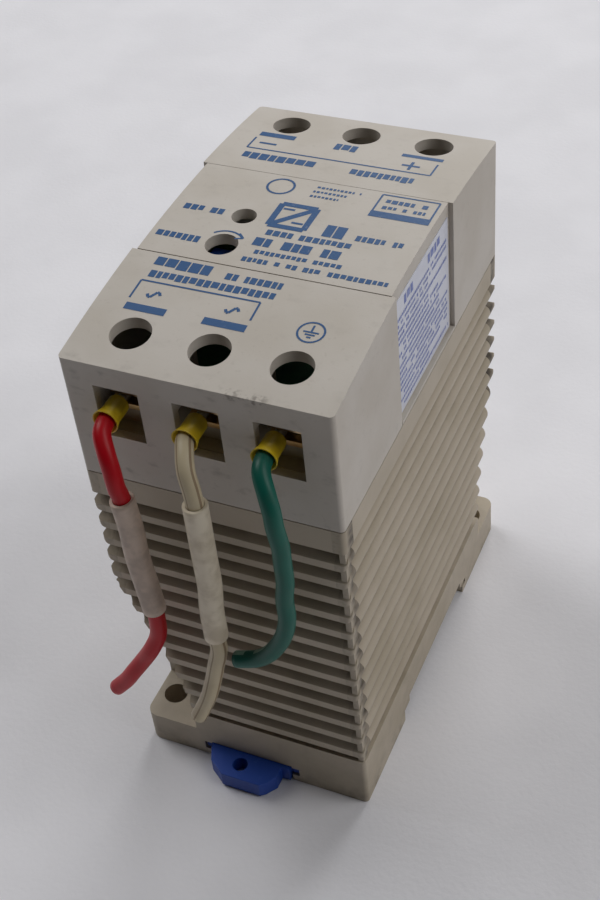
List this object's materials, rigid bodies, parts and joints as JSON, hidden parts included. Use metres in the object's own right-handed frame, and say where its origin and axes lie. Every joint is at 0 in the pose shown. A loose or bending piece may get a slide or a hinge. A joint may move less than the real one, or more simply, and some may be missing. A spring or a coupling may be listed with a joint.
{
  "type": "din rail power supply",
  "caption": "Narrow boxy switching power supply for a DIN rail, louvred case, screw terminals at both ends, rail latch, with conductors on the input.",
  "frame": {"origin": "on the rear plane, at the middle of the rail channel", "axes": "+Z from the rail to the front face, +X along the rail, the input end at -Y and the output end at +Y"},
  "size_m": [0.045, 0.0849, 0.0978],
  "materials": {
    "case_plastic": "satin moulded",
    "cover_plastic": "satin moulded",
    "block_plastic": "moulded",
    "label_paper": "printed film",
    "terminal_brass": "plated",
    "clamp_metal": "plated",
    "screw_steel": "zinc plated",
    "spring_steel": "drawn",
    "board_green": "solder mask",
    "led_green": "tinted",
    "trimmer_blue": "gloss",
    "rotor_white": "matte",
    "ceramic_white": "glazed",
    "film_yellow": "gloss",
    "ferrite_dark": "matte",
    "epoxy_black": "moulded",
    "can_sleeve": "shrink sleeve",
    "disc_green": "dipped",
    "disc_blue": "dipped",
    "heatsink_alu": "extruded",
    "coil_tape": "tape",
    "chip_white": "moulded",
    "coil_copper": "enamel",
    "latch_blue": "satin moulded",
    "ferrule_yellow": "moulded",
    "sleeve_tin": "tinned",
    "wire_red": "satin",
    "wire_white": "satin",
    "wire_green": "satin",
    "marker_pink": "matte sleeve",
    "marker_cream": "matte sleeve"
  },
  "bodies": {
    "housing": {"case_shell": "case_plastic", "base_cover": "case_plastic", "input_cover": "cover_plastic", "output_cover": "cover_plastic", "centre_panel": "cover_plastic", "side_label": "label_paper", "input_terminal_block": "block_plastic", "output_terminal_block": "block_plastic", "input_terminal_bars": "terminal_brass", "output_terminal_bars": "terminal_brass", "terminal_board": "board_green", "main_board": "board_green", "control_board": "board_green", "status_led": "led_green", "trimmer_body": "trimmer_blue", "fuse": "ceramic_white", "line_capacitor": "film_yellow", "line_choke": "ferrite_dark", "bridge_rectifier": "epoxy_black", "bulk_capacitor": "can_sleeve", "inrush_thermistor": "disc_green", "surge_varistor": "disc_blue", "switch_transistor": "epoxy_black", "output_diode": "epoxy_black", "heatsinks": "heatsink_alu", "heatsink_screws": "screw_steel", "transformer_core": "ferrite_dark", "transformer_coil": "coil_tape", "optocoupler": "chip_white", "control_chip": "epoxy_black", "output_capacitors": "can_sleeve", "output_inductor": "coil_copper", "safety_capacitors": "disc_blue", "latch_spring": "spring_steel", "ferrule_1": "ferrule_yellow", "ferrule_2": "ferrule_yellow", "ferrule_3": "ferrule_yellow", "ferrule_sleeves": "sleeve_tin", "red_wire": "wire_red", "white_wire": "wire_white", "green_wire": "wire_green", "marker_tube_1": "marker_pink", "marker_tube_2": "marker_cream"},
    "input_clamp_1": {"input_clamp_1": "clamp_metal"},
    "input_screw_1": {"input_screw_1": "screw_steel"},
    "input_clamp_2": {"input_clamp_2": "clamp_metal"},
    "input_screw_2": {"input_screw_2": "screw_steel"},
    "input_clamp_3": {"input_clamp_3": "clamp_metal"},
    "input_screw_3": {"input_screw_3": "screw_steel"},
    "output_clamp_1": {"output_clamp_1": "clamp_metal"},
    "output_screw_1": {"output_screw_1": "screw_steel"},
    "output_clamp_2": {"output_clamp_2": "clamp_metal"},
    "output_screw_2": {"output_screw_2": "screw_steel"},
    "output_clamp_3": {"output_clamp_3": "clamp_metal"},
    "output_screw_3": {"output_screw_3": "screw_steel"},
    "trimmer": {"trimmer_rotor": "rotor_white"},
    "latch": {"rail_latch": "latch_blue"}
  },
  "joints": [
    {"name": "input_1_clamp_lift", "type": "slide", "parent": "housing", "child": "input_clamp_1", "axis": [0, 0, 1], "range_m": [0, 0.0018]},
    {"name": "input_1_screw_turn", "type": "hinge", "parent": "input_clamp_1", "child": "input_screw_1", "pos_m": [-0.0136, -0.0301, 0.088], "axis": [0, 0, 1], "range_deg": [0, 1080]},
    {"name": "input_2_clamp_lift", "type": "slide", "parent": "housing", "child": "input_clamp_2", "axis": [0, 0, 1], "range_m": [0, 0.0018]},
    {"name": "input_2_screw_turn", "type": "hinge", "parent": "input_clamp_2", "child": "input_screw_2", "pos_m": [-0.0003, -0.0301, 0.088], "axis": [0, 0, 1], "range_deg": [0, 1080]},
    {"name": "input_3_clamp_lift", "type": "slide", "parent": "housing", "child": "input_clamp_3", "axis": [0, 0, 1], "range_m": [0, 0.0018]},
    {"name": "input_3_screw_turn", "type": "hinge", "parent": "input_clamp_3", "child": "input_screw_3", "pos_m": [0.0131, -0.0301, 0.088], "axis": [0, 0, 1], "range_deg": [0, 1080]},
    {"name": "output_1_clamp_lift", "type": "slide", "parent": "housing", "child": "output_clamp_1", "axis": [0, 0, 1], "range_m": [-0.0012, 0.0018]},
    {"name": "output_1_screw_turn", "type": "hinge", "parent": "output_clamp_1", "child": "output_screw_1", "pos_m": [-0.0136, 0.0316, 0.088], "axis": [0, 0, 1], "range_deg": [-720, 1080]},
    {"name": "output_2_clamp_lift", "type": "slide", "parent": "housing", "child": "output_clamp_2", "axis": [0, 0, 1], "range_m": [-0.0012, 0.0018]},
    {"name": "output_2_screw_turn", "type": "hinge", "parent": "output_clamp_2", "child": "output_screw_2", "pos_m": [-0.0003, 0.0316, 0.088], "axis": [0, 0, 1], "range_deg": [-720, 1080]},
    {"name": "output_3_clamp_lift", "type": "slide", "parent": "housing", "child": "output_clamp_3", "axis": [0, 0, 1], "range_m": [-0.0012, 0.0018]},
    {"name": "output_3_screw_turn", "type": "hinge", "parent": "output_clamp_3", "child": "output_screw_3", "pos_m": [0.0131, 0.0316, 0.088], "axis": [0, 0, 1], "range_deg": [-720, 1080]},
    {"name": "trimmer_turn", "type": "hinge", "parent": "housing", "child": "trimmer", "pos_m": [-0.0089, -0.0073, 0.0937], "axis": [0, 0, 1], "range_deg": [-130, 130]},
    {"name": "latch_pull", "type": "slide", "parent": "housing", "child": "latch", "axis": [0, -1, 0], "range_m": [0, 0.005], "stiffness_N_per_m": 600, "springref_m": -0.001, "deforming": ["latch_spring"]}
  ],
  "couplings": [
    {"joint": "input_1_screw_turn", "follows": "input_1_clamp_lift", "rad_per_m": 10472},
    {"joint": "input_2_screw_turn", "follows": "input_2_clamp_lift", "rad_per_m": 10472},
    {"joint": "input_3_screw_turn", "follows": "input_3_clamp_lift", "rad_per_m": 10472},
    {"joint": "output_1_screw_turn", "follows": "output_1_clamp_lift", "rad_per_m": 10472},
    {"joint": "output_2_screw_turn", "follows": "output_2_clamp_lift", "rad_per_m": 10472},
    {"joint": "output_3_screw_turn", "follows": "output_3_clamp_lift", "rad_per_m": 10472}
  ]
}
